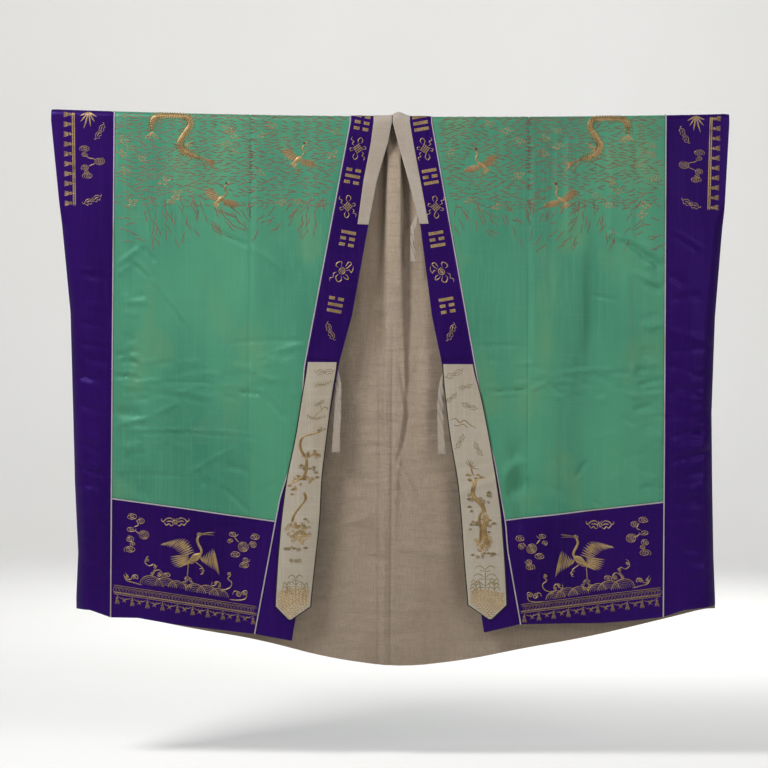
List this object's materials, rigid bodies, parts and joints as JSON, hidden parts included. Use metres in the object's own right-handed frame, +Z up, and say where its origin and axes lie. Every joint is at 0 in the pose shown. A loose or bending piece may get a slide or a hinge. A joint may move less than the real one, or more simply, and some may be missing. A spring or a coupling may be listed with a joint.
{
  "type": "taoist robe on a rod",
  "caption": "Wide square sleeveless robe of green and purple satin, open at the front with a long neckband, streamers and linen lining, hung on a bowed rod.",
  "frame": {"origin": "the middle of the rod's axis, where the robe is held", "axes": "+X to the right along the rod as seen from the front, -Y out of the open front, +Z up"},
  "size_m": [1.692, 0.0743, 1.392],
  "materials": {
    "green_satin": "satin, couched with gold thread on the shoulders",
    "purple_satin": "satin, couched with gold thread",
    "cream_satin": "satin, embroidered in gold and tan",
    "white_cloth": "matt plain weave",
    "linen_lining": "matt plain weave",
    "white_piping": "matt cord",
    "dark_edging": "dark satin binding",
    "rod": "painted dark, semi-matt"
  },
  "bodies": {
    "root": {"back_hem_panel_left": "purple_satin", "back_hem_panel_right": "purple_satin", "back_side_band_left": "purple_satin", "back_side_band_right": "purple_satin", "back_silk_inner_left": "green_satin", "back_silk_inner_right": "green_satin", "back_silk_outer_left": "green_satin", "back_silk_outer_right": "green_satin", "collar_left": "purple_satin", "collar_right": "purple_satin", "front_band_left": "purple_satin", "front_band_right": "purple_satin", "front_hem_panel_left": "purple_satin", "front_hem_panel_right": "purple_satin", "front_side_band_left": "purple_satin", "front_side_band_right": "purple_satin", "front_silk_inner_left": "green_satin", "front_silk_inner_right": "green_satin", "front_silk_outer_left": "green_satin", "front_silk_outer_right": "green_satin", "guard_left": "white_cloth", "guard_right": "white_cloth", "lining_left": "linen_lining", "lining_right": "linen_lining", "piping_band_left": "white_piping", "piping_band_right": "white_piping", "piping_hem_back_left": "white_piping", "piping_hem_back_right": "white_piping", "piping_hem_left": "white_piping", "piping_hem_right": "white_piping", "piping_side_left": "white_piping", "piping_side_right": "white_piping", "rod": "rod", "streamer_backing_left": "dark_edging", "streamer_backing_right": "dark_edging", "streamer_left": "cream_satin", "streamer_right": "cream_satin", "tie_left": "white_cloth", "tie_neck": "white_cloth", "tie_right": "white_cloth"}
  },
  "joints": []
}
